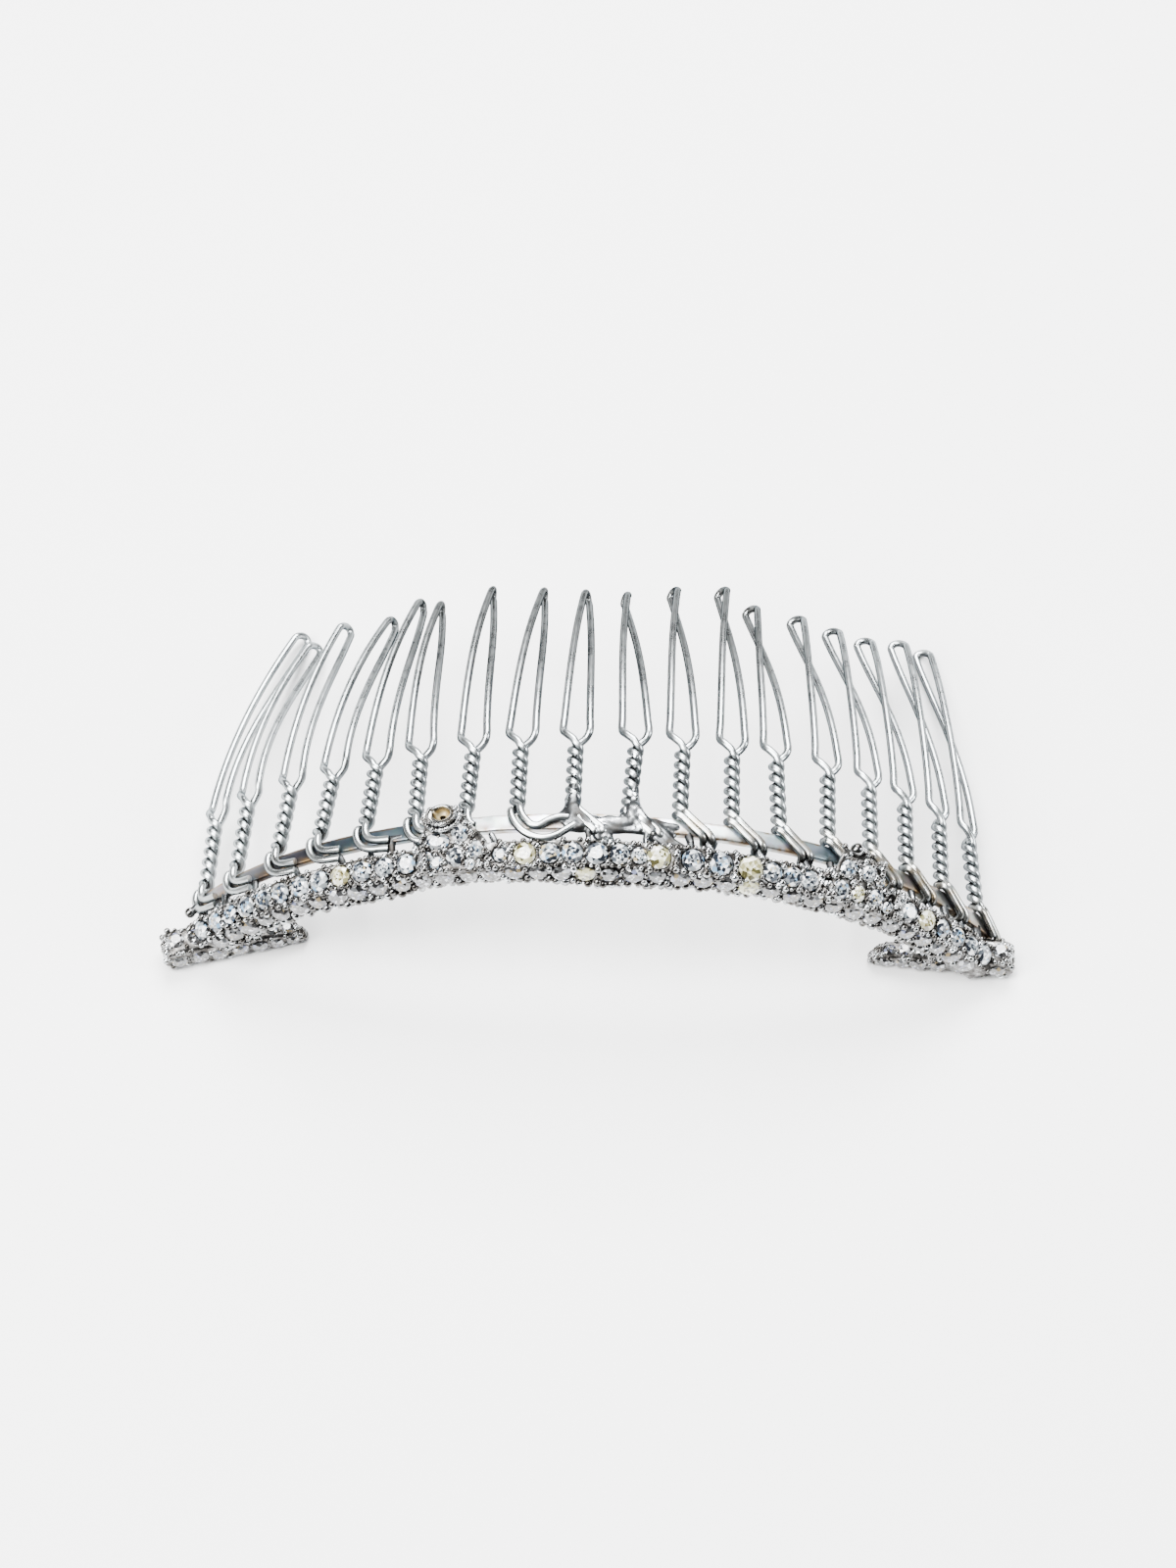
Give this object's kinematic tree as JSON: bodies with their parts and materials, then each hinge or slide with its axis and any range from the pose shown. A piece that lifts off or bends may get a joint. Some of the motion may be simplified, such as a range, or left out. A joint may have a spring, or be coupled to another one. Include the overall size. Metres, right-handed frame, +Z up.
{
  "type": "mantilla comb",
  "caption": "Small arched hair comb: twisted silver wire teeth wound on a flat bar, with a band of two rows of round cut stones, two stone clusters and two turned-in feet.",
  "frame": {"origin": "middle of the base of the whole comb's box, on the surface that it lies on", "axes": "+X along the comb from its left to its right foot, as seen from the stones' side; +Y the way the teeth point; +Z up, out of the arch's top"},
  "size_m": [0.0728, 0.0362, 0.0184],
  "materials": {
    "frame_metal": "worn, tarnished silver",
    "wire": "bright drawn silver wire",
    "clear_stone": "polished, cut",
    "grey_stone": "polished, cut",
    "yellow_stone": "polished, cut"
  },
  "bodies": {
    "root": {"soldered_frame": "frame_metal", "stones_upper_row": "clear_stone", "stones_front_row": "grey_stone", "stones_left_foot": "grey_stone", "stones_right_foot": "grey_stone", "stones_left_cluster": "clear_stone", "stones_right_cluster": "clear_stone", "yellow_stones": "yellow_stone", "tooth_01": "wire", "tooth_02": "wire", "tooth_03": "wire", "tooth_04": "wire", "tooth_05": "wire", "tooth_06": "wire", "tooth_07": "wire", "tooth_08": "wire", "tooth_09": "wire", "tooth_10": "wire", "tooth_11": "wire", "tooth_12": "wire", "tooth_13": "wire", "tooth_14": "wire", "tooth_15": "wire", "tooth_16": "wire", "tooth_17": "wire", "tooth_18": "wire"}
  },
  "joints": []
}
